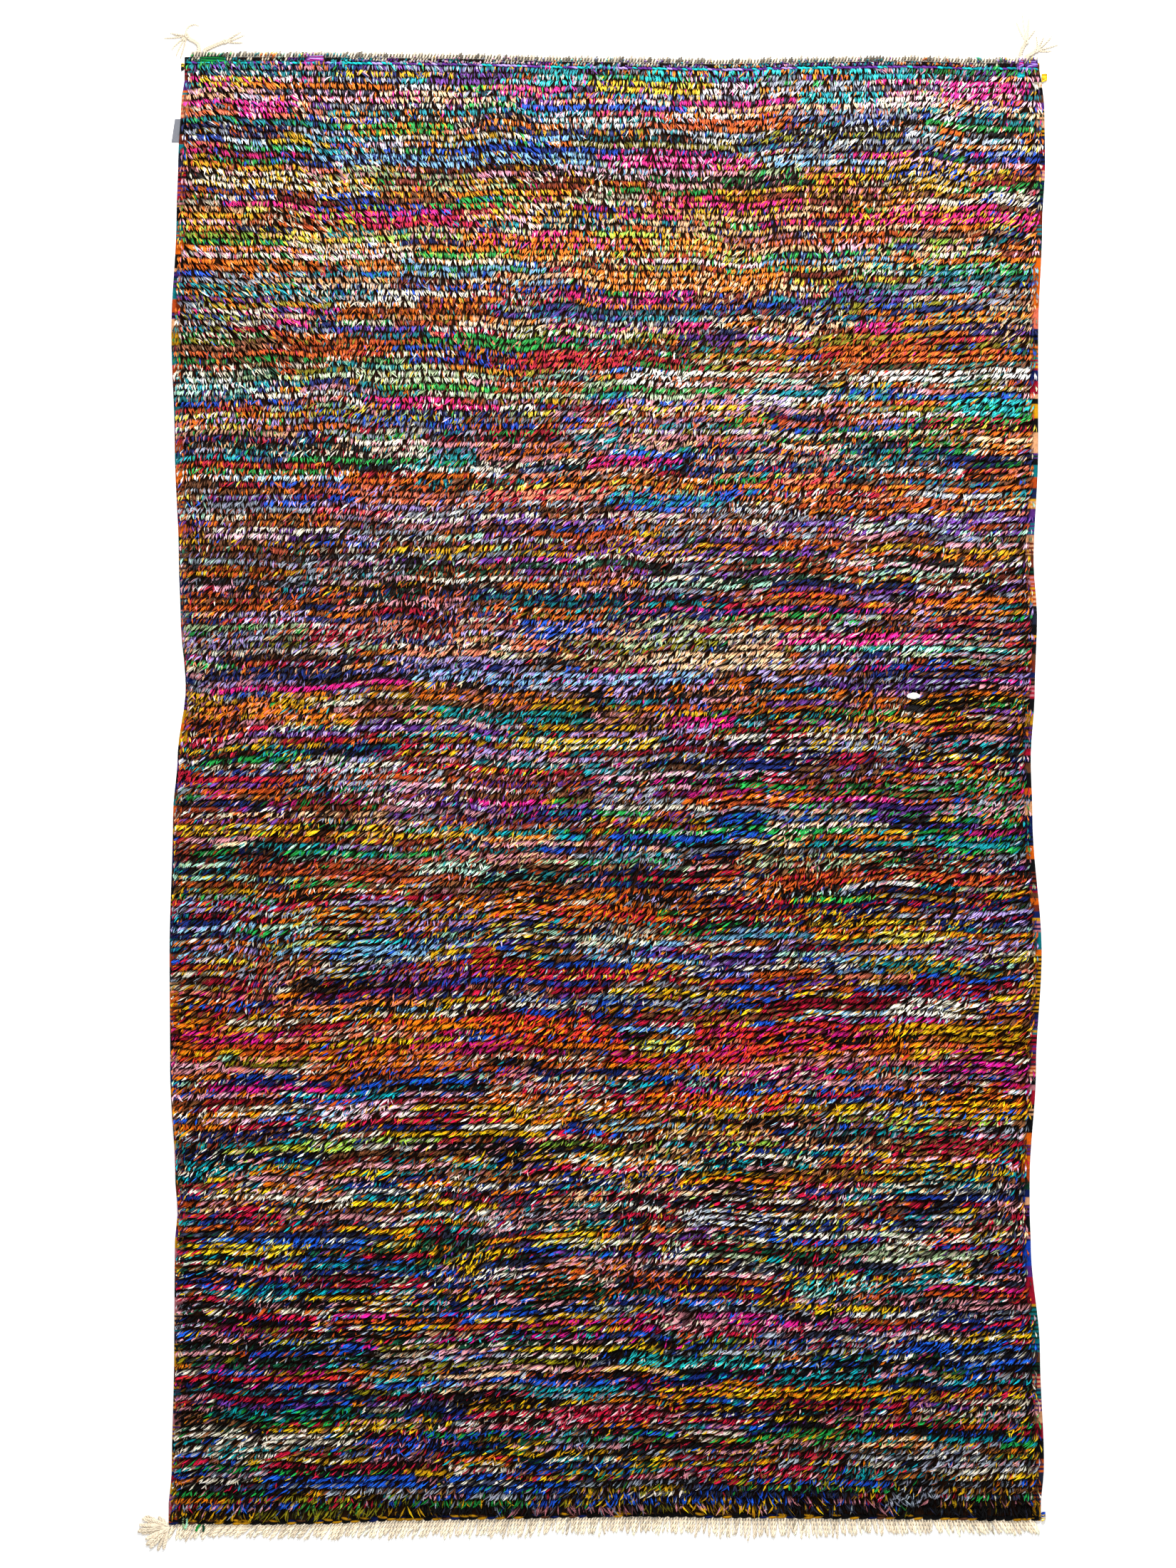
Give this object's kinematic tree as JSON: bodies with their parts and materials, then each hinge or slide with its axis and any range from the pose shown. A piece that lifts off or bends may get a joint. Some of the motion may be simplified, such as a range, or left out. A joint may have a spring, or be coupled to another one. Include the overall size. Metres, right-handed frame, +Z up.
{
  "type": "azilal rug",
  "caption": "Flat hand-knotted wool shag rug with flat-woven edges, a corded end with plaited corner tassels, a cut fringe and a folded ribbon label.",
  "frame": {"origin": "on the flat underside, at the middle of the woven cloth", "axes": "+Y runs along the warps, from the cut fringe to the corded end with the plaited corner tassels; +X runs across the width; +Z is up, out of the pile"},
  "size_m": [1.6064, 2.6764, 0.022],
  "materials": {
    "pile": "mixed multicoloured wool pile with flat-woven edges",
    "natural_yarn": "undyed plied wool",
    "dark_yarn": "black wool yarn",
    "yellow_yarn": "yellow wool yarn",
    "ribbon": "grey woven ribbon"
  },
  "bodies": {
    "root": {"rug": "pile", "top_cord": "natural_yarn", "warp_fringe": "natural_yarn", "tassel_top_left_outer": "natural_yarn", "tassel_top_left_inner": "natural_yarn", "tassel_top_right_inner": "natural_yarn", "tassel_top_right_outer": "natural_yarn", "tassel_bottom_left": "natural_yarn", "label": "ribbon", "knot_top_left": "dark_yarn", "knot_top_right": "yellow_yarn", "knot_bottom_right": "yellow_yarn"}
  },
  "joints": []
}
